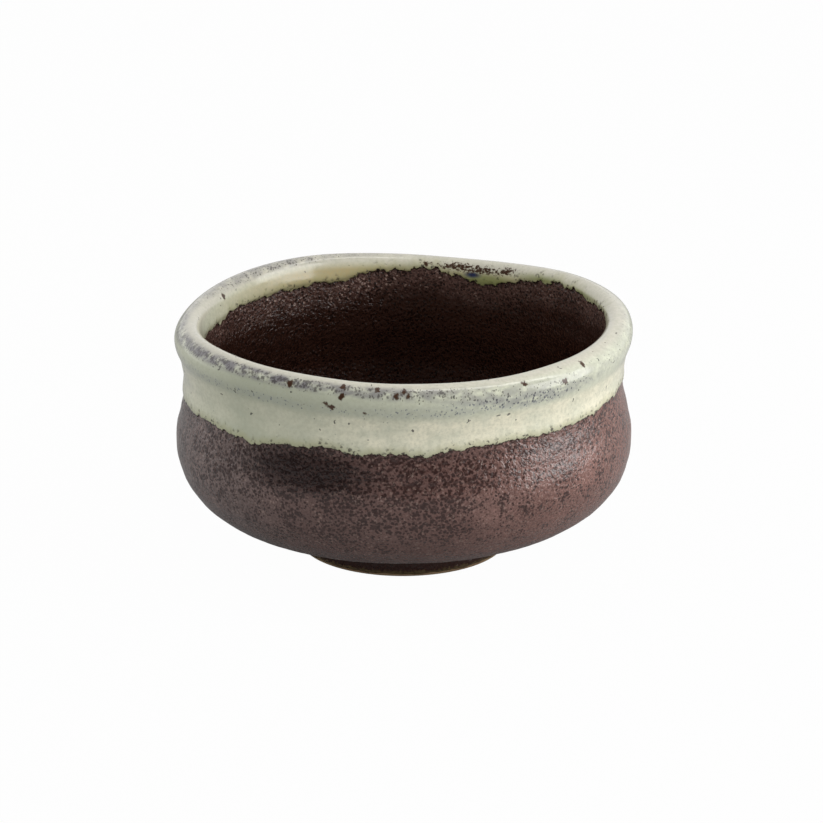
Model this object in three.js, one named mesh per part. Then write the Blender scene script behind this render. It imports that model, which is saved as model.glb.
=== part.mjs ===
// A hand-thrown stoneware tea bowl: a clay wall on a foot ring, brown glaze outside and inside,
// and a pale glaze that the rim was dipped in.
// Millimetres, +Z up. The origin is the centre of the face that the foot stands on.
import * as THREE from "three";
import { ParametricGeometry } from "three/addons/geometries/ParametricGeometry.js";

// Clay foot
const FOOT_RADIUS = 27.6;
const FOOT_WIDTH = 6.3; // from the outside of the ring to its inside
const FOOT_HEIGHT = 5;
const FOOT_BEVEL = 0.3; // on both standing edges

// Clay wall, outside
const UNDERSIDE_RADIUS = 40.2; // where the underside starts to turn up into the belly
const UNDERSIDE_HEIGHT = 10;
const BELLY_RADIUS = 58.9;
const BELLY_HEIGHT = 30.5;
const WAIST_DRAW = 2.75; // how far the waist draws in from the belly
const WAIST_HEIGHT = 47.7;
const LIP_FLARE = 2.15; // how far the lip stands out from the waist
const LIP_HEIGHT = 58.5;
const LIP_CROWN = 3.8; // height of the crest above the widest part of the lip
const LIP_OUTER_ROUND = 3.6; // from the widest part of the lip in to the crest
const LIP_INNER_ROUND = 1.9; // from the crest in to the inside wall

// Clay wall, inside
const WALL = 3.35;
const FLOOR_THICKNESS = 6.5; // at the middle of the bowl

// Glaze coats
const BROWN_COAT = 0.3;
const PALE_COAT = 0.4;
const PALE_EDGE = 0.2; // thickness of the pale coat at its borders
const BOND_GAP = 0.1; // between one layer and the next
const BARE_FOOT = 1; // wiped clay at the bottom of the foot
const PALE_OUTSIDE_DEPTH = 19.8; // along the wall from the crest to the outside border
const PALE_INSIDE_DEPTH = 5.5;

// Waves around the bowl: lobes in a turn, swing in millimetres, and the angle of a high point in degrees
const RIM_WAVES = [
  { lobes: 1, swing: 0.99, peak: 71 },
  { lobes: 2, swing: 0.63, peak: 6 },
  { lobes: 3, swing: 0.88, peak: 6.5 },
  { lobes: 4, swing: 0.31, peak: 34 },
];
const PLAN_WAVES = [
  { lobes: 2, swing: 0.65, peak: 4 },
  { lobes: 3, swing: 0.68, peak: -23 },
  { lobes: 4, swing: 0.2, peak: -6 },
];
const PALE_OUTSIDE_WAVES = [
  { lobes: 1, swing: 1.4, peak: 165 },
  { lobes: 3, swing: 0.4, peak: 230 },
  { lobes: 7, swing: 0.3, peak: 265 },
];
const PALE_INSIDE_WAVES = [
  { lobes: 1, swing: 1.6, peak: 150 },
  { lobes: 2, swing: 0.5, peak: 130 },
];
const RIM_WAVE_START = 18; // height where the wave of the rim begins
const PLAN_WAVE_FULL = 22; // height where the uneven plan has grown to its full swing

// How finely the surfaces are divided
const STEPS_AROUND = 44;
const STEP_LENGTH = 9; // longest step along the wall
const STEP_STRAY = 0.06; // how far a straight step may stray from the curve
const SPAN_DIVISIONS = 100; // measuring divisions between two points of the wall line

const WAIST_RADIUS = BELLY_RADIUS - WAIST_DRAW;
const LIP_RADIUS = WAIST_RADIUS + LIP_FLARE;
const CREST_RADIUS = LIP_RADIUS - LIP_OUTER_ROUND;
const CREST_HEIGHT = LIP_HEIGHT + LIP_CROWN;
const FLOOR_HEIGHT = FOOT_HEIGHT + FLOOR_THICKNESS;
const INSIDE_TURN_HEIGHT = UNDERSIDE_HEIGHT + WALL;
const lerp = THREE.MathUtils.lerp;

function wavesAt(waves, angle) {
  const heights = waves.map((wave) => {
    const peak = THREE.MathUtils.degToRad(wave.peak);
    return wave.swing * Math.cos(wave.lobes * (angle - peak));
  });
  return heights.reduce((sum, height) => sum + height, 0);
}

// Points of the wall's section: x is the radius and z the height
function point(radius, height) {
  return new THREE.Vector3(radius, 0, height);
}

// A quarter of an oval, from its side (0 degrees) to its end (90 degrees)
function ovalPoints(centre, width, rise, degrees) {
  return degrees.map((degree) => {
    const angle = THREE.MathUtils.degToRad(degree);
    return point(centre.x + width * Math.cos(angle), centre.z + rise * Math.sin(angle));
  });
}

// The cove runs from the top of the foot out to where the underside turns up
function covePoints() {
  const middle = point(
    lerp(FOOT_RADIUS, UNDERSIDE_RADIUS, 0.2),
    lerp(FOOT_HEIGHT, UNDERSIDE_HEIGHT, 0.75),
  );
  const cove = new THREE.QuadraticBezierCurve3(
    point(FOOT_RADIUS, FOOT_HEIGHT),
    middle,
    point(UNDERSIDE_RADIUS, UNDERSIDE_HEIGHT),
  );
  return [1 / 3, 2 / 3].map((share) => cove.getPoint(share));
}

// The wall eases in from the belly to the waist and flares out again to the lip
function waistPoints(inset) {
  const shrink = (share) => {
    const ease = THREE.MathUtils.smoothstep(share, 0, 1);
    const radius = lerp(BELLY_RADIUS, WAIST_RADIUS, ease) - inset;
    return point(radius, lerp(BELLY_HEIGHT, WAIST_HEIGHT, share));
  };
  return [0.25, 0.5, 0.75, 1].map(shrink);
}

function flarePoint(fromRadius, toRadius) {
  const share = 0.5;
  return point(lerp(fromRadius, toRadius, share ** 2), lerp(WAIST_HEIGHT, LIP_HEIGHT, share));
}

// The line of the clay from the bottom of the foot, up the outside, over the crest and down to the
// middle of the floor
function makeWallLine() {
  const bellyCentre = point(UNDERSIDE_RADIUS, BELLY_HEIGHT);
  const lipCentre = point(CREST_RADIUS, LIP_HEIGHT);
  const bellyDepth = BELLY_RADIUS - UNDERSIDE_RADIUS;
  const foot = [0, FOOT_HEIGHT / 2, FOOT_HEIGHT].map((height) => point(FOOT_RADIUS, height));
  const outside = [
    ...foot,
    ...covePoints(),
    ...ovalPoints(bellyCentre, bellyDepth, UNDERSIDE_HEIGHT - BELLY_HEIGHT, [90, 68, 45, 22, 0]),
    ...waistPoints(0),
    flarePoint(WAIST_RADIUS, LIP_RADIUS),
    ...ovalPoints(lipCentre, LIP_OUTER_ROUND, LIP_CROWN, [0, 30, 60]),
  ];
  const insideWaist = WAIST_RADIUS - WALL;
  const inside = [
    ...ovalPoints(lipCentre, -LIP_INNER_ROUND, LIP_CROWN, [60, 30, 0]),
    flarePoint(insideWaist, CREST_RADIUS - LIP_INNER_ROUND),
    ...waistPoints(WALL).reverse(),
    ...ovalPoints(bellyCentre, bellyDepth - WALL, INSIDE_TURN_HEIGHT - BELLY_HEIGHT, [0, 22, 45, 68, 90]),
    point(UNDERSIDE_RADIUS / 2, lerp(FLOOR_HEIGHT, INSIDE_TURN_HEIGHT, 0.25)),
    point(0, FLOOR_HEIGHT),
  ];
  const points = [...outside, point(CREST_RADIUS, CREST_HEIGHT), ...inside];
  const line = new THREE.CatmullRomCurve3(points, false, "centripetal");
  line.arcLengthDivisions = SPAN_DIVISIONS * (points.length - 1);
  const lengths = line.getLengths();
  return {
    line,
    footTop: lengths[SPAN_DIVISIONS * (foot.length - 1)],
    crest: lengths[SPAN_DIVISIONS * outside.length],
    end: line.getLength(),
  };
}

const wall = makeWallLine();

// A place on the wall line, lifted off the clay by a distance along the normal
function wallPoint(along, lift) {
  const share = along / wall.end;
  const place = wall.line.getPointAt(share);
  const tangent = wall.line.getTangentAt(share);
  return point(place.x + lift * tangent.z, place.z - lift * tangent.x);
}

// Places along the wall, closer together where it turns sharply
function wallStations(from, to) {
  const stations = [from];
  const walkStep = 0.05;
  let last = from;
  let lastTangent = wall.line.getTangentAt(from / wall.end);
  for (let along = from + walkStep; along < to - walkStep; along += walkStep) {
    const tangent = wall.line.getTangentAt(along / wall.end);
    const length = along - last;
    const stray = (length * tangent.angleTo(lastTangent)) / 8;
    if (length > STEP_LENGTH || stray > STEP_STRAY) {
      stations.push(along);
      last = along;
      lastTangent = tangent;
    }
  }
  stations.push(to);
  return stations;
}

// Carries a place on the wall line round to an angle, with the wave of the rim and the uneven plan
function aroundBowl(place, angle, target) {
  const planShare = THREE.MathUtils.smoothstep(place.z, FOOT_HEIGHT, PLAN_WAVE_FULL);
  const waveShare = THREE.MathUtils.smoothstep(place.z, RIM_WAVE_START, CREST_HEIGHT);
  const radius = place.x * (1 + (planShare * wavesAt(PLAN_WAVES, angle)) / BELLY_RADIUS);
  const height = place.z + waveShare * wavesAt(RIM_WAVES, angle);
  target.set(radius * Math.cos(angle), radius * Math.sin(angle), height);
}

// Turns a section, given as a list of places for each angle, into a closed surface
function turnSection(sectionAt) {
  const count = sectionAt(0).length;
  const surface = (around, down, target) => {
    const angle = 2 * Math.PI * around;
    const section = sectionAt(angle);
    aroundBowl(section[Math.round(down * (count - 1))], angle, target);
  };
  return new ParametricGeometry(surface, STEPS_AROUND, count - 1);
}

const outsideStations = wallStations(wall.footTop, wall.crest);
const insideStations = wallStations(wall.crest, wall.end);
const footStations = wallStations(FOOT_BEVEL, wall.footTop);

function bowlBody() {
  const stations = [...outsideStations.slice(1), ...insideStations.slice(1)];
  const skin = stations.map((along) => wallPoint(along, 0));
  const section = [point(0, FOOT_HEIGHT), point(FOOT_RADIUS, FOOT_HEIGHT), ...skin];
  return turnSection(() => section);
}

function footRing() {
  const hole = FOOT_RADIUS - FOOT_WIDTH;
  const section = [
    point(FOOT_RADIUS - FOOT_BEVEL, 0),
    ...footStations.slice(0, -1).map((along) => wallPoint(along, 0)),
    point(FOOT_RADIUS, FOOT_HEIGHT),
    point(hole, FOOT_HEIGHT),
    point(hole, FOOT_BEVEL),
    point(hole + FOOT_BEVEL, 0),
    point(FOOT_RADIUS - FOOT_BEVEL, 0),
  ];
  return turnSection(() => section);
}

function outsideBrownGlaze() {
  const low = wallStations(BARE_FOOT, wall.footTop);
  const stations = [...low, ...outsideStations.slice(1, -1), wall.crest - BOND_GAP];
  const face = stations.map((along) => wallPoint(along, BOND_GAP + BROWN_COAT));
  const back = stations.map((along) => wallPoint(along, BOND_GAP));
  const section = [...face, ...back.reverse(), face[0]];
  return turnSection(() => section);
}

function insideBrownGlaze() {
  const stations = [wall.crest + BOND_GAP, ...insideStations.slice(1, -1)];
  const skin = (lift) => [
    ...stations.map((along) => wallPoint(along, lift)),
    point(0, FLOOR_HEIGHT + lift),
  ];
  const section = [...skin(BOND_GAP).reverse(), ...skin(BOND_GAP + BROWN_COAT)];
  return turnSection(() => section);
}

// The pale coat keeps the brown coats' stations down to its shallowest border, so that the layers stay
// parallel over the lip, and runs on from there to its own wavy borders
function rimPaleGlaze() {
  const swing = (waves) => waves.reduce((sum, wave) => sum + wave.swing, 0);
  const sharedFrom = wall.crest - PALE_OUTSIDE_DEPTH + swing(PALE_OUTSIDE_WAVES);
  const sharedTo = wall.crest + PALE_INSIDE_DEPTH - swing(PALE_INSIDE_WAVES);
  const shared = [...outsideStations, ...insideStations.slice(1)].filter(
    (along) => along > sharedFrom + PALE_EDGE && along < sharedTo - PALE_EDGE,
  );
  const backLift = BOND_GAP + BROWN_COAT + BOND_GAP;
  const sectionAt = (angle) => {
    const start = wall.crest - PALE_OUTSIDE_DEPTH - wavesAt(PALE_OUTSIDE_WAVES, angle);
    const finish = wall.crest + PALE_INSIDE_DEPTH + wavesAt(PALE_INSIDE_WAVES, angle);
    const low = [2 / 3, 1 / 3].map((share) => lerp(shared[0], start, share));
    const deep = [1 / 4, 1 / 2].map((share) => lerp(shared.at(-1), finish, share));
    const stations = [start, ...low, ...shared, ...deep, finish];
    const face = stations.map((along) => {
      const isBorder = along === start || along === finish;
      return wallPoint(along, backLift + (isBorder ? PALE_EDGE : PALE_COAT));
    });
    const back = stations.map((along) => wallPoint(along, backLift));
    return [...face, ...back.reverse(), face[0]];
  };
  return turnSection(sectionAt);
}

function recessBrownGlaze() {
  const back = FOOT_RADIUS - FOOT_WIDTH - BOND_GAP;
  const top = FOOT_HEIGHT - BOND_GAP;
  const section = [
    point(0, top - BROWN_COAT),
    point(back - BROWN_COAT, top - BROWN_COAT),
    point(back - BROWN_COAT, BARE_FOOT),
    point(back, BARE_FOOT),
    point(back, top),
    point(0, top),
  ];
  return turnSection(() => section);
}

const clay = { color: "#b48a63", roughness: 0.9, metalness: 0 };
const brownGlaze = { color: "#5b4843", roughness: 0.35, metalness: 0 };
const darkGlaze = { color: "#3a2c29", roughness: 0.3, metalness: 0 };
const paleGlaze = { color: "#cdd0bb", roughness: 0.15, metalness: 0 };

function piece(name, geometry, finish) {
  const mesh = new THREE.Mesh(geometry, new THREE.MeshStandardMaterial(finish));
  mesh.name = name;
  return mesh;
}

const bowl = new THREE.Group();
bowl.add(
  piece("bowl_body", bowlBody(), clay),
  piece("foot_ring", footRing(), clay),
  piece("outside_brown_glaze", outsideBrownGlaze(), brownGlaze),
  piece("inside_brown_glaze", insideBrownGlaze(), darkGlaze),
  piece("rim_pale_glaze", rimPaleGlaze(), paleGlaze),
  piece("recess_brown_glaze", recessBrownGlaze(), brownGlaze),
);

export default bowl;
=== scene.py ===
import math

import bpy
import numpy as np
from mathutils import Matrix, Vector, noise


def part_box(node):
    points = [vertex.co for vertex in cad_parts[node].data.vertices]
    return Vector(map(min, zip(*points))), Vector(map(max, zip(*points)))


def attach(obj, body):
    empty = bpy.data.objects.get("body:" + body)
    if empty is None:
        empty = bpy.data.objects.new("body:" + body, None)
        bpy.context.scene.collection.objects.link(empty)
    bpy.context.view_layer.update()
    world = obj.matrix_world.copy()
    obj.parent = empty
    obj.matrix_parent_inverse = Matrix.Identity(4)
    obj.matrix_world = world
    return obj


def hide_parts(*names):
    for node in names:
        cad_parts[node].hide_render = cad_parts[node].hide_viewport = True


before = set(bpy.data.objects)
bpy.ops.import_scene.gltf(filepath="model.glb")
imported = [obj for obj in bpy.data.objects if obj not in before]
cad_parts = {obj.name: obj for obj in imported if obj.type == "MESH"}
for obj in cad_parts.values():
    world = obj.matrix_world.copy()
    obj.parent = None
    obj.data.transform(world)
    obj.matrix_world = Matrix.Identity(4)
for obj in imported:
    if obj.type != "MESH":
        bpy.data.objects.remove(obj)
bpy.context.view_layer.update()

MM = 0.001  # metres in a millimetre
CAD_COLUMNS = 44  # angles that the part's solids were turned through
POLE = 0.01  # a vertex nearer to the axis than this is on it
MARK_LOBES = 40  # how fine the changes between marks may be, in lobes round the bowl
SPOT_REACH = 9  # how far from the edge of a spot places are still told apart
FOOT_SHARES = (0, 0.25, 0.5, 0.75)  # where the wall's line passes up the foot, as shares of its height

# Camera, fitted to the outline of the bowl in the photograph
IMAGE_PIXELS = 823
FOCAL_PIXELS = 3777
CAMERA_DISTANCE = 1000
CAMERA_ELEVATION = 18.97
CAMERA_TARGET = (2.27, 1.24, 35.59)

# Floor: half its width in metres, how pale it is, and how much white is its own to the camera and in gloss
FLOOR_REACH = 6
FLOOR_PALE = 0.45
FLOOR_GAP = 0.02  # keeps the floor clear of the face that the bowl stands on
GLOW_TO_CAMERA = 0.98
GLOW_IN_GLOSS = 0.02

# Light of the room level with the bowl, and how it changes to the right, to the backdrop and overhead
ROOM_LIGHT = 0.74
ROOM_SLOPE = (-0.36, -0.22, -0.15)
ROOM_IN_GLOSS = 0.08  # the darker room in front of the bowl, as gloss shows it
BACKDROP_FROM = -0.3  # how far backwards a direction points where the white backdrop begins
BACKDROP_FULL = 0.5  # and where it is whole

# Lamps as seen from the bowl, in metres, watts and degrees: a low softbox at the right, and a thin strip
# above it that draws a fine line of light along the lip
KEY = {"turn": -12, "rise": 17, "distance": 0.63, "width": 0.4, "height": 0.46, "watts": 2.65}
STRIP = {"turn": -4, "rise": 64, "distance": 0.7, "width": 0.08, "height": 0.65, "watts": 1.0}

# What the potter's hands left in the clay: soft lumps, and throwing rings that drift up and down
LUMP_SWING = 0.16
LUMP_LENGTH = 21
RING_SWING = 0.05
RING_SPACING = 6.5
RING_DRIFT = 0.5  # in rings
RING_DRIFT_LENGTH = 30
RELIEF_LIMIT = 0.2
RELIEF_SINK = 0.06  # sets the relief back, so that it keeps to the CAD box
RELIEF_START = 6  # height above the foot at which the relief is whole

# Coats, as lifts above the clay
BROWN_BACK = 0.1
BROWN_FACE = 0.4
BROWN_WIPED = 0.2  # where the face ends at the wiped edge of the foot
PALE_BACK = 0.42
PALE_BORDER = 0.44  # where the face begins at the borders
PALE_FACE = 0.9

# Orange peel in the brown coats: swing, wavelength and shift of each size, and how far it is set back
PEEL = [(0.05, 2.4, 11.3), (0.03, 1.3, 5.9)]
PEEL_SINK = 0.04
CREST_GAP = 0.1  # how far from the crest each brown coat stops

# Wiped clay at the bottom of the foot: its height, and the radius, swing and wavelength of its edge
BARE_FOOT = 0.8
BARE_RADIUS = 28
BARE_SWING = 0.3
BARE_LENGTH = 3

# Edge of the pale coat, and the bead above it where the glaze ran and gathered
PALE_EDGE_ROUND = 0.8  # how far in from its border the coat reaches its full thickness
PALE_EDGE_ROWS = (0, 0.06, 0.15, 0.3, 0.5, PALE_EDGE_ROUND)  # rows of the mesh on that rounding
PALE_BEAD_FROM_BORDER = 1.3
PALE_BEAD_BELOW = 0.9  # how far the bead spreads to the border
PALE_BEAD_ABOVE = 2.0  # and away from it
OUTSIDE_BEAD = 0.14  # extra thickness of the bead outside

# Depth of the pale coat's borders at angles read from the photograph, and guessed where it hides them
OUTSIDE_BORDER = [
    (0, 18.2), (40, 19.6), (80, 20.4), (120, 19.2), (160, 20.8), (190, 21.2), (204, 21.6), (215, 21.1),
    (227, 22.4), (236, 21.1), (250, 19.6), (259, 21.0), (270, 20.1), (276, 20.6), (284, 19.5),
    (295, 19.0), (310, 18.8), (328, 18.6), (345, 17.2),
]
INSIDE_BORDER = [
    (0, 3.3), (11, 3.9), (23, 3.6), (32, 3.0), (40, 3.2), (46, 3.6), (51, 4.2), (55, 5.4), (60, 6.1),
    (66, 6.0), (71, 5.5), (74, 4.4), (77, 3.4), (80, 3.2), (90, 3.3), (100, 5.0), (110, 7.2), (140, 7.7),
    (165, 7.5), (200, 6.2), (240, 5.6), (280, 5.2), (320, 4.4),
]
# Extra thickness of the bead inside, where the pale coat lies thick at the back left
INSIDE_BEAD = [
    (0, 0.1), (60, 0.25), (80, 0.1), (95, 0.3), (110, 0.5), (130, 0.6), (155, 0.5), (172, 0.25), (200, 0.15),
]
# How ragged the borders are: swing and wavelength of each size of notch
OUTSIDE_NOTCHES = [(0.7, 7.0), (0.6, 2.9), (0.55, 1.3)]
INSIDE_NOTCHES = [(0.8, 6.0), (0.8, 2.6), (0.7, 1.3)]

# Line round the rim that iron specks gather along: angle, depth, half its width, and how thickly they lie
SPECK_LINE = [
    (0, -3.0, 2.0, 0.3), (30, -1.5, 1.6, 0.2), (60, -1.0, 1.2, 0.1), (90, -0.5, 1.0, 0.2),
    (115, 0.2, 1.1, 0.5), (130, 0.4, 1.2, 0.65), (146, 0.4, 1.3, 0.6), (160, -0.2, 1.2, 0.45),
    (175, -1.6, 1.3, 0.5), (189, -2.8, 1.4, 0.75), (205, -2.6, 1.2, 0.95), (240, -2.8, 1.2, 1.0),
    (255, -2.8, 1.2, 0.85), (280, -3.2, 1.4, 0.65), (292, -4.4, 2.0, 0.55), (306, -5.6, 2.4, 0.45),
    (318, -5.4, 2.2, 0.3), (332, -4.0, 2.0, 0.2),
]
# Line of blue streaks below it, in the same form
BLUE_LINE = [
    (0, -5.0, 1.5, 0.2), (60, -4.0, 1.5, 0.3), (120, -5.0, 1.5, 0.2), (180, -6.5, 1.5, 0.3),
    (215, -7.6, 1.2, 0.5), (235, -7.8, 1.2, 0.5), (250, -8.2, 1.2, 0.3), (275, -7.4, 1.5, 0.4),
    (290, -6.4, 1.7, 0.7), (306, -6.8, 1.8, 0.75), (318, -6.4, 1.6, 0.45), (335, -5.5, 1.5, 0.25),
]
# How strongly painted shade greys the pale coat below the lip round the bowl
UNDER_LIP_SHADE = [
    (0, 0.1), (150, 0.2), (198, 0.1), (212, 0.6), (228, 1.0), (245, 0.9), (262, 0.6), (280, 0.35),
    (292, 0.12),
]
# How amber its inside is
AMBER = [
    (0, 0.3), (50, 0.7), (85, 0.9), (105, 1.0), (125, 0.9), (140, 0.6), (158, 0.3), (175, 0.1), (220, 0.3),
]
# How creamy its lower part is outside: partly its own cream, partly painted light
CREAM_AND_PAINTED_LIGHT = [
    (0, 0.8), (60, 0.5), (120, 0.3), (180, 0.6), (200, 0.5), (225, 0.15), (250, 0.5), (265, 0.9), (285, 1.0),
    (330, 1.0),
]
# Rust spots: angle, depth, and half their size around and along the wall
RUST_SPOTS = [
    (156.8, 2.1, 0.7, 0.8), (241.2, -3.2, 0.7, 0.8), (254.8, -2.2, 0.8, 0.7), (254.9, -4.4, 0.7, 0.7),
    (252.4, -7.0, 0.9, 0.6), (250.9, -6.2, 0.6, 0.5), (260.9, -7.8, 0.5, 0.5), (263.7, -2.3, 0.7, 0.6),
    (268.4, -3.5, 0.6, 0.7), (270.3, -2.4, 0.5, 0.6), (271.4, -3.4, 0.5, 0.7), (302.1, -3.0, 0.9, 0.6),
    (313.9, -4.7, 0.9, 0.6), (321.7, -2.6, 0.5, 0.9), (83.0, 1.7, 1.2, 0.4), (17.0, -4.0, 0.7, 0.6),
    (104.0, -5.5, 0.8, 0.6), (112.0, -3.2, 0.6, 0.7), (137.0, -7.0, 0.7, 0.6), (176.0, -5.0, 0.6, 0.7),
    (349.0, -6.5, 0.8, 0.6), (40.0, -6.8, 0.6, 0.6), (71.0, -4.4, 0.8, 0.7),
]
# Broken streaks of rust inside the back of the rim, and the pools of blue and green below them
RUST_STREAKS = [(73.0, 2.0, 5.0, 0.7), (66.0, 2.3, 5.5, 0.8), (57.0, 1.9, 3.0, 0.6)]
BLUE_POOLS = [(68.5, 3.6, 2.4, 0.7)]
GREEN_POOLS = [(64.0, 4.8, 9.0, 1.7), (42.0, 2.6, 7.0, 0.9), (25.0, 3.1, 8.0, 0.6)]

# Dark crowded patch in the brown glaze: angle, depth and half its size around and along the wall
DARK_PATCHES = [(244.5, -26.6, 17.0, 5.6)]
# How strong the light flecks and painted glints are round the inside
INSIDE_FLECKS_AND_GLINTS = [(0, 0.3), (60, 0.35), (90, 0.7), (110, 1.0), (150, 1.0), (175, 0.6), (220, 0.3)]
# How far the brown turns from grey (0) to a warm pink (1) round the bowl, and how thickly it is speckled
BROWN_TONES = [
    (0, 0.8, 0.4), (60, 0.5, 0.7), (120, 0.3, 0.6), (180, 0.1, 0.6), (225, 0.15, 0.85), (245, 0.5, 1.1),
    (280, 0.75, 1.1), (293, 0.8, 0.8), (305, 0.9, 0.7), (325, 1.0, 0.7), (345, 1.0, 0.7),
]
# The same glaze in the recess of the foot: even, and far from any border or patch
RECESS_TONES = {"from_border": 40, "from_patch": SPOT_REACH, "warmth": 0.4, "speckling": 0.6}

# Colours, as web codes
COLOURS = {
    "clay": "#937b5c",
    "clay cloud": "#84694c",
    "clay grain": "#54412e",
    # light flecks in the glaze, also used for painted glints
    "light fleck and glint": "#b0968a",
    "outside light": "#877a77",
    "outside light, warm": "#9a7268",
    "outside dark": "#463734",
    "outside dark, warm": "#4f322c",
    "outside speck": "#27120f",
    "dark patch": "#1a0806",
    "dark patch speck": "#0d0504",
    # painted shade low on the belly; the foot's own glaze is darker, with painted shade on it
    "low belly, painted shade": "#3c231c",
    "glazed foot, partly painted shade": "#331a12",
    "olive": "#5a4b30",
    # inside tones painted darker as shade, and lighter by the border as painted light
    "inside light tone, painted shade": "#3c241b",
    "inside painted light by border": "#72564e",
    "inside dark tone, painted shade": "#2b1812",
    "inside speck, painted shade": "#170b08",
    "pale": "#dadcc7",
    "pale crest": "#cac4b6",
    # painted shade below the lip
    "pale under lip shade": "#b0b4a0",
    "pale mottle": "#aaab93",
    # cream, partly painted light low on the pale coat
    "cream_and_painted_light": "#f0ebd3",
    "amber": "#b9a97d",
    "thin pale": "#a5a374",
    "frayed border": "#32231b",
    "blue haze": "#7f89a0",
    "speck haze": "#7b787b",
    "blue pool": "#263050",
    "green pool": "#81884f",
    "blue speck": "#454b66",
    "iron speck": "#352d2b",
    "loose speck": "#2b2626",
    "rust": "#40240f",
}


def paint(name):
    """A colour as the shader takes it."""
    parts = [int(COLOURS[name][i : i + 2], 16) / 255 for i in (1, 3, 5)]
    return (*[((c + 0.055) / 1.055) ** 2.4 if c > 0.04045 else c / 12.92 for c in parts], 1)


def smoothstep(value, start, end):
    """0 at start and 1 at end, with a smooth passage between."""
    share = np.clip((value - start) / (end - start), 0, 1)
    return share * share * (3 - 2 * share)


# The wall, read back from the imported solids


def unique_places(node):
    """A CAD node's vertices without doubles, and the pairs of them that edges join."""
    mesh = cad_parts[node].data
    places = np.array([vertex.co for vertex in mesh.vertices]) / MM
    _, first, index = np.unique(np.round(places, 3), axis=0, return_index=True, return_inverse=True)
    pairs = index.ravel()[np.array([edge.vertices[:] for edge in mesh.edges])]
    return places[first], pairs[pairs[:, 0] != pairs[:, 1]]


def walk(pairs, start, end):
    """The vertices from start to end, in the order that the pairs join them."""
    joined = {}
    for a, b in pairs.tolist():
        joined.setdefault(a, []).append(b)
        joined.setdefault(b, []).append(a)
    chain = [start, joined[start][0]]
    while chain[-1] != end:
        chain.append(next(v for v in joined[chain[-1]] if v != chain[-2]))
    return chain


def clay_sections():
    """Radius and height along the clay, from the bottom of the foot up the outside, over the crest and
    down to the middle of the floor: one section for each angle of the CAD solid."""
    places, pairs = unique_places("bowl_body")
    radius = np.hypot(places[:, 0], places[:, 1])
    turn = np.arctan2(places[:, 1], places[:, 0]) / (2 * math.pi)
    column = np.round(turn * CAD_COLUMNS).astype(int) % CAD_COLUMNS
    poles = sorted(np.flatnonzero(radius < POLE), key=lambda v: places[v, 2])
    foot_height, foot_radius = (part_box("foot_ring")[1][axis] / MM for axis in (2, 0))
    foot = [(foot_radius, foot_height * share) for share in FOOT_SHARES]
    sections = []
    for number in range(CAD_COLUMNS):
        mine = (column == number) | np.isin(np.arange(len(places)), poles)
        chain = walk(pairs[mine[pairs].all(axis=1)], *poles)[1:]
        sections.append([*foot, *zip(radius[chain], places[chain, 2])])
    return np.array(sections)


def spline_slopes(at, values):
    """Slopes of the smoothest curve through values given along the first axis."""
    step = np.diff(at)
    count = len(at)
    matrix = np.zeros((count, count))
    rise = np.zeros_like(values)
    for i in range(1, count - 1):
        matrix[i, i - 1 : i + 2] = 1 / step[i - 1], 2 / step[i - 1] + 2 / step[i], 1 / step[i]
        before = (values[i] - values[i - 1]) / step[i - 1] ** 2
        after = (values[i + 1] - values[i]) / step[i] ** 2
        rise[i] = 3 * (before + after)
    matrix[0, :2] = 2, 1
    matrix[-1, -2:] = 1, 2
    rise[0] = 3 * (values[1] - values[0]) / step[0]
    rise[-1] = 3 * (values[-1] - values[-2]) / step[-1]
    flat = np.linalg.solve(matrix, rise.reshape(count, -1))
    return flat.reshape(values.shape)


SECTIONS = clay_sections()
MEAN_SECTION = SECTIONS.mean(axis=0)
LENGTHS = np.concatenate([[0], np.cumsum(np.hypot(*np.diff(MEAN_SECTION, axis=0).T))])
DEPTHS = LENGTHS - LENGTHS[MEAN_SECTION[:, 1].argmax()]
FOOT_TOP = DEPTHS[len(FOOT_SHARES)]
FOOT_HEIGHT = MEAN_SECTION[len(FOOT_SHARES), 1]
MIDDLE = DEPTHS[-1]  # depth of the middle of the bowl's floor
MIDDLE_HEIGHT = MEAN_SECTION[-1, 1]
WIDEST = MEAN_SECTION[:, 0].max()


def turned(columns):
    """The angles of that many columns round the bowl, in radians."""
    return 2 * math.pi * np.arange(columns) / columns


def every_column(rows, columns):
    """The same row of values for each column."""
    return np.broadcast_to(rows, (columns, len(rows)))


def spun(radius, height):
    """Points at radii and heights given as [column, row]."""
    angle = turned(len(radius))[:, None]
    return np.stack([radius * np.cos(angle), radius * np.sin(angle), height], axis=-1)


def spun_section(section, columns):
    """Points of one section, a list of radii and heights, turned round the axis."""
    radii, heights = zip(*section)
    return spun(every_column(radii, columns), every_column(heights, columns))


def more_columns(values, columns):
    """Values at the CAD's columns, carried smoothly to more columns."""
    return np.fft.irfft(np.fft.rfft(values, axis=0), columns, axis=0) * columns / len(values)


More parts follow.
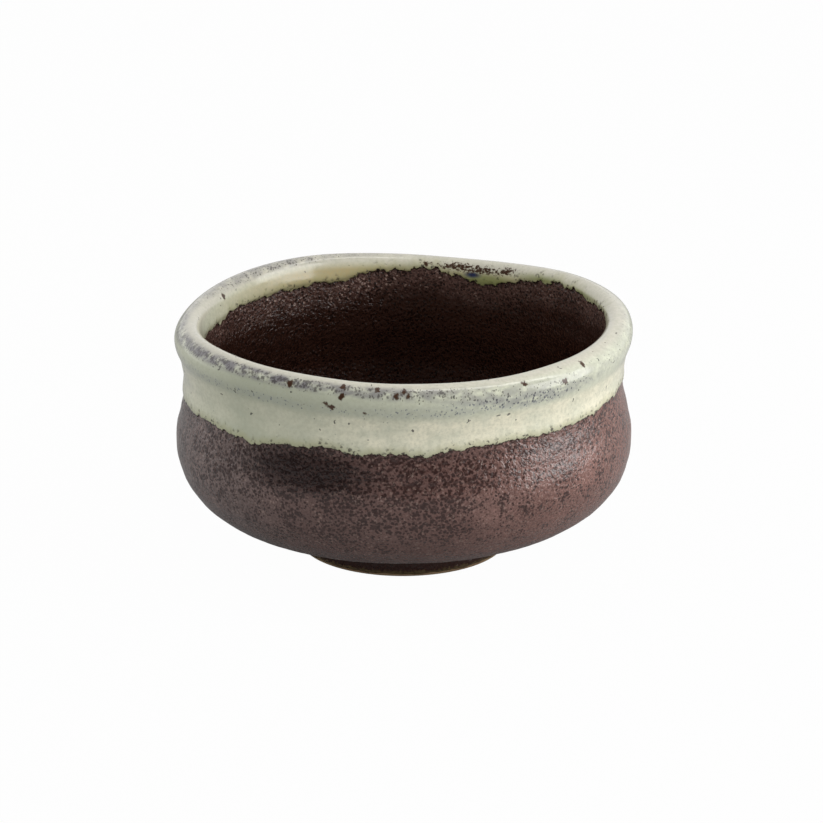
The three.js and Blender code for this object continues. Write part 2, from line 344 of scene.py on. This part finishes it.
def wall_place(depth, lift):
    """Points of the bowl, for depths given as [column, row] and lifts in the same form or one for all."""
    columns = len(depth)
    curve = np.moveaxis(more_columns(SECTIONS, columns), 1, 0)
    slopes = spline_slopes(DEPTHS, curve)
    left = np.clip(np.searchsorted(DEPTHS, depth, side="right") - 1, 0, len(DEPTHS) - 2)
    step = np.diff(DEPTHS)[left][..., None]
    share = (depth[..., None] - DEPTHS[left][..., None]) / step
    column = np.arange(columns)[:, None]
    start, end = curve[left, column], curve[left + 1, column]
    start_slope, end_slope = slopes[left, column] * step, slopes[left + 1, column] * step
    bend = 2 * (start - end) + start_slope + end_slope
    sag = 3 * (end - start) - 2 * start_slope - end_slope
    place = start + share * (start_slope + share * (sag + share * bend))
    tangent = (start_slope + share * (2 * sag + share * 3 * bend)) / step
    tangent /= np.linalg.norm(tangent, axis=-1, keepdims=True)
    return spun(place[..., 0] + lift * tangent[..., 1], place[..., 1] - lift * tangent[..., 0])


# Uneven surfaces


def noise_at(places, wavelength, shift):
    """Smooth noise from about -1 to 1 at places in millimetres."""
    flat = (places.reshape(-1, 3) / wavelength + shift).tolist()
    return np.array([noise.noise(place) for place in flat]).reshape(places.shape[:-1])


def hand_relief(places, depth):
    """What the potter's hands left in the clay, which every coat follows."""
    lumps = LUMP_SWING * noise_at(places, LUMP_LENGTH, shift=3.7)
    drift = RING_DRIFT * noise_at(places, RING_DRIFT_LENGTH, shift=8.1)
    rings = RING_SWING * np.sin(2 * math.pi * (depth / RING_SPACING + drift))
    share = smoothstep(places[..., 2], FOOT_HEIGHT, FOOT_HEIGHT + RELIEF_START)
    return share * (np.clip(lumps + rings, -RELIEF_LIMIT, RELIEF_LIMIT) - RELIEF_SINK)


def layer(depth, lift):
    """Points of one surface of a layer, which follows the uneven clay below it."""
    places = wall_place(depth, lift)
    return wall_place(depth, lift + hand_relief(places, depth))


def marks_at(marks, columns):
    """Values of a list of marks that begin with an angle, carried smoothly to each column."""
    angles, *values = zip(*marks)
    lobes = np.fft.rfftfreq(columns, 1 / columns)
    soften = np.exp(-0.5 * (lobes / MARK_LOBES) ** 2)
    straight = [np.interp(np.degrees(turned(columns)), angles, value, period=360) for value in values]
    return [np.fft.irfft(np.fft.rfft(value) * soften, columns)[:, None] for value in straight]


def ragged_border(marks, notches, columns, shift):
    """Length from the crest to a glaze border at each column, from its marks and its notches."""
    (smooth,) = marks_at(marks, columns)
    line = spun_section([(WIDEST, 0)], columns)
    return smooth + sum(swing * noise_at(line, length, shift) for swing, length in notches)


def outside_border(columns):
    return -ragged_border(OUTSIDE_BORDER, OUTSIDE_NOTCHES, columns, shift=0.5)


def inside_border(columns):
    return ragged_border(INSIDE_BORDER, INSIDE_NOTCHES, columns, shift=4.5)


def from_spots(spots, depth):
    """How far each place is from the edge of the nearest spot: negative inside a spot."""
    angle = turned(len(depth))[:, None]
    nearest = np.full(depth.shape, np.inf)
    for middle, spot_depth, half_around, half_along in spots:
        turn = (angle - math.radians(middle) + math.pi) % (2 * math.pi) - math.pi
        reach = np.hypot(turn * WIDEST / half_around, (depth - spot_depth) / half_along)
        nearest = np.minimum(nearest, (reach - 1) * min(half_around, half_along))
    return np.clip(nearest, -SPOT_REACH, SPOT_REACH)


# Meshes


def rows_between(start, end, spacing):
    """Depths from start to end, about that far apart."""
    return np.linspace(start, end, max(2, round(abs(end - start) / spacing) + 1))


def rows_across(start, end, count):
    """That many depths from start to end, which differ from column to column."""
    return start + (end - start) * np.linspace(0, 1, count)


def arc(middle, radius, start, end, count):
    """Points of a section round a corner. Its angles run from outwards (0) to upwards (90)."""
    angles = np.radians(np.linspace(start, end, count))
    return [(middle[0] + radius * math.cos(a), middle[1] + radius * math.sin(a)) for a in angles]


def turned_object(name, rings, poles=None):
    """A closed smooth mesh from points given as [column, row]. Its section is a closed loop, or with poles
    it runs from one point of the axis to another."""
    columns, rows = rings.shape[:2]
    points = rings.reshape(-1, 3)
    across, down = np.meshgrid(np.arange(columns), np.arange(rows - bool(poles)), indexing="ij")
    after = (across + 1) % columns
    below = (down + 1) % rows
    corners = [(across, down), (after, down), (after, below), (across, below)]
    faces = np.stack([k * rows + j for k, j in corners], axis=-1).reshape(-1, 4).tolist()
    if poles:
        first, last = len(points), len(points) + 1
        points = np.vstack([points, poles])
        here, there = np.arange(columns) * rows, (np.arange(columns) + 1) % columns * rows
        faces += np.stack([np.full(columns, first), there, here], axis=-1).tolist()
        faces += np.stack([here + rows - 1, there + rows - 1, np.full(columns, last)], axis=-1).tolist()
    mesh = bpy.data.meshes.new(name)
    mesh.from_pydata((points * MM).tolist(), [], faces)
    mesh.shade_smooth()
    made = bpy.data.objects.new(name, mesh)
    bpy.context.scene.collection.objects.link(made)
    return made


def keep_values(made, name, values):
    """Stores a number for each vertex, which a material reads by its name. Poles get zero."""
    stored = made.data.attributes.new(name, "FLOAT", "POINT")
    filled = np.zeros(len(made.data.vertices), np.float32)
    filled[: values.size] = values.ravel()
    stored.data.foreach_set("value", filled)


def stand_for(made, node, material):
    """Puts a finished piece in the place of its CAD node."""
    made.data.materials.append(material)
    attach(made, "root")
    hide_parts(node)


# Materials: a fade over a length is given in millimetres, and a fade over noise in shares from 0 to 1


class Nodes:
    """A tree of shader nodes, with a short call for each kind of node that the bowl and its stage use."""

    def __init__(self, tree):
        self.tree = tree

    def new(self, kind):
        return self.tree.nodes.new(f"ShaderNode{kind}")

    def give(self, socket, value):
        """Links a socket to another, or sets it to a plain value."""
        if isinstance(value, bpy.types.NodeSocket):
            self.tree.links.new(value, socket)
        else:
            socket.default_value = value

    def number(self, operation, first, second):
        node = self.new("Math")
        node.operation = operation
        self.give(node.inputs[0], first)
        self.give(node.inputs[1], second)
        return node.outputs[0]

    def plus(self, first, second):
        return self.number("ADD", first, second)

    def times(self, first, second):
        return self.number("MULTIPLY", first, second)

    def larger(self, first, second):
        return self.number("MAXIMUM", first, second)

    def vector(self, operation, first, second):
        node = self.new("VectorMath")
        node.operation = operation
        self.give(node.inputs[0], first)
        self.give(node.inputs[1], second)
        return node.outputs["Value" if operation == "DOT_PRODUCT" else "Vector"]

    def between(self, share, first, second):
        """A number that passes from first to second with the share."""
        node = self.new("MapRange")
        self.give(node.inputs["Value"], share)
        self.give(node.inputs["To Min"], first)
        self.give(node.inputs["To Max"], second)
        return node.outputs["Result"]

    def fade(self, value, start, end):
        """0 at start and 1 at end, with a smooth passage between."""
        node = self.new("MapRange")
        node.interpolation_type = "SMOOTHSTEP"
        self.give(node.inputs["Value"], value)
        self.give(node.inputs["From Min"], start)
        self.give(node.inputs["From Max"], end)
        return node.outputs["Result"]

    def band(self, value, start, full_from, full_to, end):
        """1 from full_from to full_to, fading to 0 at start and at end."""
        return self.times(self.fade(value, start, full_from), self.fade(value, end, full_to))

    def by_ray(self, light, gloss, camera):
        """A number with one value for light, one for the rays of gloss and glass, and one for the camera."""
        path = self.new("LightPath").outputs
        shiny = self.larger(path["Is Glossy Ray"], path["Is Transmission Ray"])
        return self.between(path["Is Camera Ray"], self.between(shiny, light, gloss), camera)


class Shader(Nodes):
    """One material of the bowl. Its places are in millimetres."""

    def __init__(self, name):
        self.material = bpy.data.materials.new(name)
        self.material.use_nodes = True
        super().__init__(self.material.node_tree)
        self.surface = self.tree.nodes["Principled BSDF"]
        metres = self.new("TexCoord").outputs["Object"]
        self.place = self.vector("MULTIPLY", metres, (1 / MM, 1 / MM, 1 / MM))

    def stored(self, name):
        """A number that the piece keeps for each vertex."""
        node = self.new("Attribute")
        node.attribute_name = name
        return node.outputs["Fac"]

    def height(self):
        return self.vector("DOT_PRODUCT", self.place, (0, 0, 1))

    def noise(self, size, detail=2.0, roughness=0.5, shift=0.0, flatten=1.0):
        """Noise with features of about that size, drawn out sideways where flatten is above 1."""
        moved = self.vector("ADD", self.place, (shift, shift, shift))
        node = self.new("TexNoise")
        self.give(node.inputs["Vector"], self.vector("MULTIPLY", moved, (1, 1, flatten)))
        self.give(node.inputs["Scale"], 1 / size)
        self.give(node.inputs["Detail"], detail)
        self.give(node.inputs["Roughness"], roughness)
        return node.outputs["Fac"]

    def sway(self, swing, size, **kind):
        """Noise that goes as far as the swing to both sides of zero."""
        return self.between(self.noise(size, **kind), -swing, swing)

    def dots(self, spacing, radius, shift=0.0, stretch=1.0):
        """1 inside uneven dots of different sizes, up to that radius, and 0 outside them. They are drawn out
        upwards where stretch is above 1."""
        wavers = 1.6  # how often an outline bends in and out over one spacing
        soft_from, full = 1.2, 0.7  # where a dot begins and where it is whole, as shares of its radius
        rough = self.new("TexNoise")
        self.give(rough.inputs["Vector"], self.place)
        self.give(rough.inputs["Scale"], wavers / spacing)
        waver = self.vector("MULTIPLY", rough.outputs["Color"], (spacing, spacing, spacing))
        moved = self.vector("ADD", self.vector("ADD", self.place, waver), (shift, shift, shift))
        node = self.new("TexVoronoi")
        self.give(node.inputs["Vector"], self.vector("MULTIPLY", moved, (1, 1, 1 / stretch)))
        self.give(node.inputs["Scale"], 1 / spacing)
        away = self.times(node.outputs["Distance"], spacing)
        return self.fade(self.number("DIVIDE", away, radius), soft_from, full)

    def blend(self, share, first, second, strength=1):
        """A colour that passes from first to second with the share, as far as the strength."""
        if strength != 1:
            share = self.times(share, strength)
        node = self.new("Mix")
        node.data_type = "RGBA"
        self.give(node.inputs["Factor"], share)
        self.give(node.inputs["A"], first)
        self.give(node.inputs["B"], second)
        return node.outputs["Result"]

    def bump(self, height, distance):
        node = self.new("Bump")
        self.give(node.inputs["Height"], height)
        self.give(node.inputs["Distance"], distance * MM)
        self.give(self.surface.inputs["Normal"], node.outputs["Normal"])

    def finish(self, colour, roughness, ior=1.5):
        self.give(self.surface.inputs["Base Color"], colour)
        self.give(self.surface.inputs["Roughness"], roughness)
        self.give(self.surface.inputs["IOR"], ior)
        return self.material


def clay_material():
    """Bare fired clay with dark grains."""
    look = Shader("bare clay")
    grain = look.noise(size=0.5, detail=4, roughness=0.7)
    clouds = look.fade(look.noise(size=6), 0.35, 0.65)
    colour = look.blend(clouds, paint("clay"), paint("clay cloud"))
    colour = look.blend(look.fade(grain, 0.56, 0.7), colour, paint("clay grain"))
    look.bump(grain, distance=0.05)
    return look.finish(colour, roughness=0.85)


def brown_colour(look, crowd, light, dark, speck):
    """Grainy brown with dark specks and larger blots, which lie more thickly where crowd is 1. Gives the
    colour, and how strongly each place is a speck."""
    specks = look.dots(spacing=0.88, radius=look.between(crowd, 0.14, 0.48))
    blots = look.dots(spacing=1.9, radius=look.between(crowd, 0.1, 0.8), shift=77)
    specks = look.larger(specks, look.times(blots, 0.85))
    mottle = look.noise(size=0.55, detail=3, roughness=0.65, shift=31)
    shade = look.plus(look.between(mottle, -0.5, 1.5), look.sway(swing=0.4, size=11, detail=3))
    colour = look.blend(specks, look.blend(shade, light, dark), speck, strength=0.85)
    return colour, specks


def light_flecks_and_glints(look, colour, share):
    """Adds a few light flecks in loose groups, as strong as the share: partly light flecks in the glaze,
    partly painted glints.
    """
    groups = look.fade(look.noise(size=4, detail=2, shift=62), 0.35, 0.65)
    flecks_and_glints = look.times(look.dots(spacing=1.1, radius=0.32, shift=5), look.times(groups, share))
    return look.blend(flecks_and_glints, colour, paint("light fleck and glint"))


def satin_bumps(look, size, distance):
    """Orange peel of about that size."""
    look.bump(look.noise(size, detail=2, roughness=0.55, shift=20), distance)


def outside_crowd(look, patch):
    """How thickly specks lie outside: most below the pale border and in the dark patch."""
    crowd = look.times(look.fade(look.stored("from_border"), 46, 4), look.stored("speckling"))
    crowd = look.plus(crowd, look.sway(swing=1.3, size=5, detail=3, shift=40))
    return look.larger(look.plus(crowd, look.times(patch, 0.5)), 0)


def low_shade_and_olive(look, colour):
    """Darkens the brown with painted shade low on the belly, and on the foot, where it is partly its own
    darker glaze and partly painted shade, and turns it olive above the wiped edge, where the glaze thins
    out."""
    height = look.height()
    # painted shade low on the belly
    colour = look.blend(look.fade(height, 33, 12), colour, paint("low belly, painted shade"), strength=0.32)
    foot = look.fade(height, FOOT_HEIGHT + 1, FOOT_HEIGHT - 0.5)
    # foot: its own darker glaze, and painted shade
    colour = look.blend(foot, colour, paint("glazed foot, partly painted shade"))
    uneven = look.plus(height, look.sway(swing=1.2, size=0.9, detail=2, shift=9))
    return look.blend(look.fade(uneven, 2.0, 1.0), colour, paint("olive"))


def outside_brown_material():
    """Speckled satin glaze, darker where it is thickly speckled, with a dark patch below the pale border."""
    look = Shader("outside brown glaze")
    patch = look.fade(look.stored("from_patch"), 3.0, -3.5)
    warmth = look.stored("warmth")
    light = look.blend(warmth, paint("outside light"), paint("outside light, warm"))
    dark = look.blend(warmth, paint("outside dark"), paint("outside dark, warm"))
    light = look.blend(look.fade(look.stored("speckling"), 0.6, 1.2), light, dark, strength=0.5)
    speck = look.blend(patch, paint("outside speck"), paint("dark patch speck"))
    colour, specks = brown_colour(look, outside_crowd(look, patch), light, dark, speck)
    # light flecks, partly painted glints
    colour = light_flecks_and_glints(look, colour, share=0.35)
    colour = look.blend(patch, colour, paint("dark patch"), strength=0.8)
    colour = low_shade_and_olive(look, colour)
    satin_bumps(look, size=1.1, distance=0.36)
    return look.finish(colour, roughness=look.between(specks, 0.2, 0.16), ior=1.55)


def inside_brown_material():
    """The same glaze inside the bowl, redder, painted darker as shade and lighter by its border as painted
    light, with light flecks and painted glints below its border.
    """
    look = Shader("inside brown glaze")
    crowd = look.noise(size=8, detail=2, shift=40)
    # painted light by the border, painted shade deeper in the bowl
    near = look.fade(look.stored("from_border"), 9, 1)
    light = look.blend(near, paint("inside light tone, painted shade"), paint("inside painted light by border"))
    colour, specks = brown_colour(look, crowd, light, paint("inside dark tone, painted shade"), paint("inside speck, painted shade"))
    # light flecks and painted glints below the border
    colour = light_flecks_and_glints(look, colour, look.times(near, look.stored("flecks_and_glints")))
    satin_bumps(look, size=1.0, distance=0.7)
    return look.finish(colour, roughness=look.between(specks, 0.24, 0.18))


def pale_zones(look, depth, edge):
    """The plain colour of the pale glaze: grey green, pinker over the crest, darker below the lip with
    painted shade, creamy low down where it is partly painted light, amber inside and yellow where it thins
    out at its borders."""
    crest = look.band(depth, -3.5, -1.2, 1.5, 3.5)
    colour = look.blend(crest, paint("pale"), paint("pale crest"), strength=0.8)
    # painted shade below the lip
    under_lip_shade = look.times(look.fade(depth, -1.5, -4.5), look.stored("under_lip_shade"))
    colour = look.blend(under_lip_shade, colour, paint("pale under lip shade"))
    clouds = look.noise(size=6, detail=3, flatten=1.4)
    # cream low down, partly painted light
    low = look.times(look.band(depth, -22, -16, -11.5, -8), look.stored("cream_and_painted_light"))
    colour = look.blend(look.times(low, look.between(clouds, -0.2, 1.9)), colour, paint("cream_and_painted_light"))
    amber = look.times(look.fade(depth, 1.5, 4), look.stored("amber"))
    colour = look.blend(amber, colour, paint("amber"))
    mottle = look.fade(look.noise(size=1.0, detail=3, roughness=0.65, shift=60), 0.35, 0.7)
    colour = look.blend(mottle, colour, paint("pale mottle"), strength=0.34)
    return look.blend(look.fade(edge, 3.2, 0.3), colour, paint("thin pale"), strength=0.5)


def pale_streaks(look, colour):
    """Blue, grey and green where the pale glaze lies thick over iron."""
    wisps = look.fade(look.noise(size=3.2, detail=4, flatten=1.8, shift=7), 0.28, 0.6)
    for name, strength in (("blue", 0.24), ("speck", 1.0)):
        share = look.band(look.stored(f"from_{name}_line"), -1.7, -0.5, 0.4, 1.6)
        share = look.times(look.times(share, look.stored(f"{name}_strength")), wisps)
        colour = look.blend(share, colour, paint(f"{name} haze"), strength)
    green = look.fade(look.stored("from_green_pool"), 0.8, -1)
    colour = look.blend(green, colour, paint("green pool"), strength=0.8)
    return look.blend(look.fade(look.stored("from_blue_pool"), 0.5, -0.5), colour, paint("blue pool"))


def rim_specks(look, colour):
    """Adds a crowd of iron specks along the rim, with blue ones below it."""
    all_specks = 0
    for name, radius, tint in (("blue", 0.36, "blue speck"), ("speck", 0.37, "iron speck")):
        line = look.band(look.stored(f"from_{name}_line"), -1.7, -0.4, 0.4, 1.5)
        line = look.times(line, look.stored(f"{name}_strength"))
        thick = look.times(line, look.between(look.noise(size=2.2, detail=2, shift=13), -0.1, 2.1))
        specks = look.dots(spacing=0.7, radius=look.between(thick, 0.04, radius), shift=41, stretch=1.6)
        colour = look.blend(specks, colour, paint(tint), strength=0.7)
        all_specks = look.larger(all_specks, specks)
    return colour, all_specks


def loose_specks(look, colour, edge):
    """Adds crumbs by the borders, and single specks away from them."""
    groups = look.fade(look.noise(size=3.5, detail=2, shift=88), 0.4, 0.58)
    crumbs = look.times(look.dots(spacing=1.25, radius=0.45, shift=17), groups)
    crumbs = look.times(crumbs, look.fade(edge, 3.2, 0.8))
    single = look.times(look.dots(spacing=3.4, radius=0.34, shift=29), look.fade(edge, 2, 6))
    specks = look.larger(crumbs, single)
    return look.blend(specks, colour, paint("loose speck"), strength=0.85), specks


def rust_spots(look, colour):
    """Adds single rust spots, and broken streaks of rust inside the back of the rim."""
    ragged = look.sway(swing=0.7, size=0.8, detail=2, shift=3)
    spots = look.fade(look.plus(look.stored("from_rust"), ragged), 0.25, -0.2)
    torn = look.sway(swing=2.4, size=0.9, detail=4, roughness=0.65, shift=23, flatten=1.5)
    streaks = look.fade(look.plus(look.stored("from_streak"), torn), 0.2, -0.3)
    rust = look.larger(spots, streaks)
    return look.blend(rust, colour, paint("rust")), rust


def pale_material():
    """Thick glossy ash glaze with streaks, specks and rust, and a dark frayed edge at its borders."""
    look = Shader("pale glaze")
    edge = look.stored("from_border")
    colour = pale_zones(look, look.stored("depth"), edge)
    colour = pale_streaks(look, colour)
    colour, by_rim = rim_specks(look, colour)
    colour, loose = loose_specks(look, colour, edge)
    colour, rust = rust_spots(look, colour)
    fray = look.plus(edge, look.sway(swing=0.8, size=0.6, detail=2, shift=51))
    colour = look.blend(look.fade(fray, 0.4, 0.2), colour, paint("frayed border"))
    look.bump(look.noise(size=2.4, detail=3), distance=0.05)
    iron = look.larger(look.larger(by_rim, loose), rust)
    return look.finish(colour, roughness=look.between(iron, 0.14, 0.28))


# Pieces


def make_clay_wall(material):
    columns = 264
    lip = 11  # depth to both sides of the crest where the wall bends most, and rows lie close
    fine, coarse = 0.8, 3
    below = rows_between(FOOT_TOP, -lip - 1, coarse)
    over = rows_between(-lip, lip, fine)
    inside = rows_between(lip + 1, MIDDLE - 1, coarse)
    depth = every_column(np.concatenate([below, over, inside]), columns)
    poles = [(0, 0, FOOT_HEIGHT), (0, 0, MIDDLE_HEIGHT)]
    made = turned_object("clay_wall", layer(depth, 0), poles)
    stand_for(made, "bowl_body", material)


def make_clay_foot(material):
    columns = 480
    soft = 0.45  # radius of its two bottom edges
    straight = 0.8  # height where the rows of its upright sides begin
    high = Vector(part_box("foot_ring")[1]) / MM
    places, _ = unique_places("foot_ring")
    hole = np.hypot(places[:, 0], places[:, 1])[places[:, 2] > high.z - POLE].min()
    outside = arc((high.x - soft, soft), soft, -90, 0, 7)
    up = [(high.x, z) for z in np.linspace(straight, high.z, 10)]
    down = [(hole, z) for z in np.linspace(high.z, straight, 8)]
    inside = arc((hole + soft, soft), soft, 180, 270, 7)
    across = [(r, 0) for r in np.linspace(hole + soft, high.x - soft, 8)[1:-1]]
    made = turned_object("clay_foot", spun_section([*outside, *up, *down, *inside, *across], columns))
    stand_for(made, "foot_ring", material)


def brown_lift(face, below):
    """Lifts of a brown coat's face, with orange peel that fades out under the pale coat."""
    places = wall_place(face, BROWN_FACE)
    peel = sum(swing * noise_at(places, length, shift) for swing, length, shift in PEEL) - PEEL_SINK
    return BROWN_FACE + smoothstep(below, -1.5, 1) * peel


def make_outside_brown(material):
    columns = 620
    border = outside_border(columns)
    wiped = noise_at(spun_section([(BARE_RADIUS, 0)], columns), BARE_LENGTH, shift=2.2)
    start = DEPTHS[0] + BARE_FOOT + BARE_SWING * wiped
    run_under = 4  # how far its fine rows run on under the pale coat
    covered_from, back_to = -13, -80
    shown = rows_across(start, border + run_under, 112)
    covered = every_column(rows_between(covered_from, -CREST_GAP, 1.2), columns)
    face = np.concatenate([shown, covered], axis=1)
    back = np.concatenate([every_column(rows_between(-CREST_GAP, back_to, 4), columns), start], axis=1)
    lift = brown_lift(face, border - face)
    lift[:, 0] = BROWN_WIPED
    rings = np.concatenate([layer(face, lift), layer(back, BROWN_BACK)], axis=1)
    made = turned_object("outside_brown_coat", rings)
    depth = np.concatenate([face, back], axis=1)
    keep_values(made, "from_border", border - depth)
    keep_values(made, "from_patch", from_spots(DARK_PATCHES, depth))
    for name, tone in zip(("warmth", "speckling"), marks_at(BROWN_TONES, columns)):
        keep_values(made, name, np.broadcast_to(tone, depth.shape))
    stand_for(made, "outside_brown_glaze", material)


def make_inside_brown(material):
    columns = 600
    border = inside_border(columns)
    run_under = 2  # how far its fine rows run on under the pale coat
    fine_to, coarse_from = 56, 57.5  # depths where the rows grow wider, past what the photograph shows
    last = MIDDLE - 1.5  # depth of the ring round the middle of the floor
    sink = 0.2  # how far the relief of the floor lowers its middle
    crest = every_column((CREST_GAP, 0.6), columns)
    shown = rows_across(border - run_under, fine_to, 88)
    floor = every_column(rows_between(coarse_from, last, 1.3), columns)
    face = np.concatenate([crest, shown, floor], axis=1)
    back = every_column(rows_between(last, CREST_GAP, 5), columns)
    lift = brown_lift(face, face - border)
    rings = np.concatenate([layer(back, BROWN_BACK), layer(face, lift)], axis=1)
    poles = [(0, 0, MIDDLE_HEIGHT - sink + lift) for lift in (BROWN_BACK, BROWN_FACE)]
    made = turned_object("inside_brown_coat", rings, poles)
    depth = np.concatenate([back, face], axis=1)
    keep_values(made, "from_border", depth - border)
    (flecks_and_glints,) = marks_at(INSIDE_FLECKS_AND_GLINTS, columns)
    keep_values(made, "flecks_and_glints", np.broadcast_to(flecks_and_glints, depth.shape))
    stand_for(made, "inside_brown_glaze", material)


def pale_bead(depth):
    """Extra thickness of the pale coat where it gathered above its borders."""
    marks = (OUTSIDE_BORDER, INSIDE_BORDER, INSIDE_BEAD)
    outside, inside, inside_bead = (marks_at(mark, len(depth))[0] for mark in marks)
    away = np.where(depth > 0, inside - depth, outside + depth) - PALE_BEAD_FROM_BORDER
    share = np.exp(-((away / np.where(away < 0, PALE_BEAD_BELOW, PALE_BEAD_ABOVE)) ** 2))
    return share * np.where(depth > 0, inside_bead * smoothstep(depth, 0, 2.5), OUTSIDE_BEAD)


def keep_pale_values(made, depth, edge):
    """Stores what the pale glaze reads: its depth, borders, lines, zones and spots."""
    keep_values(made, "depth", depth)
    keep_values(made, "from_border", edge)
    for name, marks in (("speck", SPECK_LINE), ("blue", BLUE_LINE)):
        line, width, strength = marks_at(marks, len(depth))
        keep_values(made, f"from_{name}_line", (depth - line) / width)
        keep_values(made, f"{name}_strength", np.broadcast_to(strength, depth.shape))
    for name, marks in (("under_lip_shade", UNDER_LIP_SHADE), ("cream_and_painted_light", CREAM_AND_PAINTED_LIGHT), ("amber", AMBER)):
        (strength,) = marks_at(marks, len(depth))
        keep_values(made, name, np.broadcast_to(strength, depth.shape))
    pools = (("blue_pool", BLUE_POOLS), ("green_pool", GREEN_POOLS))
    for name, spots in (("rust", RUST_SPOTS), ("streak", RUST_STREAKS), *pools):
        keep_values(made, f"from_{name}", from_spots(spots, depth))


def make_rim_pale(material):
    columns = 1150
    outside, inside = outside_border(columns), inside_border(columns)
    near = np.array(PALE_EDGE_ROWS)
    between = rows_across(outside + PALE_EDGE_ROUND, inside - PALE_EDGE_ROUND, 66)[:, 1:-1]
    face = np.concatenate([outside + near, between, inside - near[::-1]], axis=1)
    edge = np.minimum(face - outside, inside - face)
    full = np.sqrt(1 - (1 - np.clip(edge / PALE_EDGE_ROUND, 0, 1)) ** 2)
    lift = PALE_BORDER + full * (PALE_FACE - PALE_BORDER + pale_bead(face))
    back_step = 5  # the hidden back has one row for that many rows of the face
    back, back_edge = face[:, ::-back_step], edge[:, ::-back_step]
    rings = np.concatenate([layer(face, lift), layer(back, PALE_BACK)], axis=1)
    made = turned_object("rim_pale_coat", rings)
    depth = np.concatenate([face, back], axis=1)
    keep_pale_values(made, depth, np.concatenate([edge, back_edge], axis=1))
    stand_for(made, "rim_pale_glaze", material)


def make_recess_brown(material):
    columns = 320
    low, high = (Vector(corner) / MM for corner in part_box("recess_brown_glaze"))
    outer, top, rim = high.x, high.z, low.z
    thick = BROWN_FACE - BROWN_BACK
    face, ceiling = outer - thick, top - thick
    soft = 1.2  # radius where its wall turns into its ceiling
    bevel, back_bevel = 0.1, 0.08  # of its lower edge
    first = 1  # radius of the ring round the poles
    under = [(r, ceiling) for r in np.linspace(first, face - soft, 14)[:-1]]
    corner = arc((face - soft, ceiling - soft), soft, 90, 0, 8)
    wall = [(face, z) for z in np.linspace(ceiling - soft, rim + bevel, 6)[1:]]
    lip = [(face + bevel, rim), (outer - back_bevel, rim)]
    back = [(outer, rim + back_bevel), (outer, top), (first, top)]
    rings = spun_section([*under, *corner, *wall, *lip, *back], columns)
    made = turned_object("recess_brown_coat", rings, [(0, 0, ceiling), (0, 0, top)])
    for name, value in RECESS_TONES.items():
        keep_values(made, name, np.full(rings.shape[:2], value))
    stand_for(made, "recess_brown_glaze", material)


# Stage


def make_floor():
    """A white floor. Most of its white is its own, so that the bowl's shadow on it is faint."""
    signs = ((-1, -1), (1, -1), (1, 1), (-1, 1))
    corners = [(x * FLOOR_REACH, y * FLOOR_REACH, -FLOOR_GAP * MM) for x, y in signs]
    mesh = bpy.data.meshes.new("floor")
    mesh.from_pydata(corners, [], [(0, 1, 2, 3)])
    floor = bpy.data.objects.new("floor", mesh)
    bpy.context.scene.collection.objects.link(floor)
    material = bpy.data.materials.new("white floor")
    material.use_nodes = True
    material.node_tree.nodes.clear()
    look = Nodes(material.node_tree)
    plain = look.new("BsdfDiffuse")
    plain.inputs["Color"].default_value = (FLOOR_PALE, FLOOR_PALE, FLOOR_PALE, 1)
    white = look.new("MixShader")
    look.give(white.inputs[0], look.by_ray(0, GLOW_IN_GLOSS, GLOW_TO_CAMERA))
    look.give(white.inputs[1], plain.outputs[0])
    look.give(white.inputs[2], look.new("Emission").outputs[0])
    look.give(look.new("OutputMaterial").inputs["Surface"], white.outputs[0])
    mesh.materials.append(material)


def make_world():
    """A room with a white backdrop behind the bowl. To the camera it is white all round."""
    world = bpy.data.worlds.new("studio")
    world.use_nodes = True
    look = Nodes(world.node_tree)
    direction = look.new("TexCoord").outputs["Generated"]
    light = look.plus(look.vector("DOT_PRODUCT", direction, ROOM_SLOPE), ROOM_LIGHT)
    backwards = look.vector("DOT_PRODUCT", direction, (0, 1, 0))
    backdrop = look.fade(backwards, BACKDROP_FROM, BACKDROP_FULL)
    background = look.tree.nodes["Background"]
    background.inputs["Color"].default_value = (1, 1, 1, 1)
    strength = look.by_ray(light, look.between(backdrop, ROOM_IN_GLOSS, 1), 1)
    look.give(background.inputs["Strength"], strength)
    bpy.context.scene.world = world


def aim(made, target):
    direction = Vector(target) - made.location
    made.rotation_euler = direction.to_track_quat("-Z", "Y").to_euler()


def make_lamp(name, turn, rise, distance, width, height, watts):
    """A soft rectangular lamp, aimed at the middle of the foot."""
    lamp = bpy.data.lights.new(name, "AREA")
    lamp.shape = "RECTANGLE"
    lamp.size, lamp.size_y = width, height
    lamp.energy = watts
    made = bpy.data.objects.new(name, lamp)
    turn, rise = math.radians(turn), math.radians(rise)
    level = distance * math.cos(rise)
    made.location = level * math.cos(turn), level * math.sin(turn), distance * math.sin(rise)
    bpy.context.scene.collection.objects.link(made)
    aim(made, (0, 0, 0))


def make_camera():
    lens = bpy.data.cameras.new("camera")
    lens.sensor_width = 36
    lens.lens = FOCAL_PIXELS / IMAGE_PIXELS * lens.sensor_width
    camera = bpy.data.objects.new("camera", lens)
    rise = math.radians(CAMERA_ELEVATION)
    target = Vector(CAMERA_TARGET) * MM
    camera.location = target + CAMERA_DISTANCE * MM * Vector((0, -math.cos(rise), math.sin(rise)))
    aim(camera, target)
    bpy.context.scene.collection.objects.link(camera)
    bpy.context.scene.camera = camera


make_camera()
make_world()
make_floor()
make_lamp("key", **KEY)
make_lamp("strip", **STRIP)
bpy.context.scene.view_settings.view_transform = "Standard"

clay = clay_material()
outside_brown = outside_brown_material()
make_clay_wall(clay)
make_clay_foot(clay)
make_outside_brown(outside_brown)
make_inside_brown(inside_brown_material())
make_rim_pale(pale_material())
make_recess_brown(outside_brown)

bpy.context.view_layer.update()
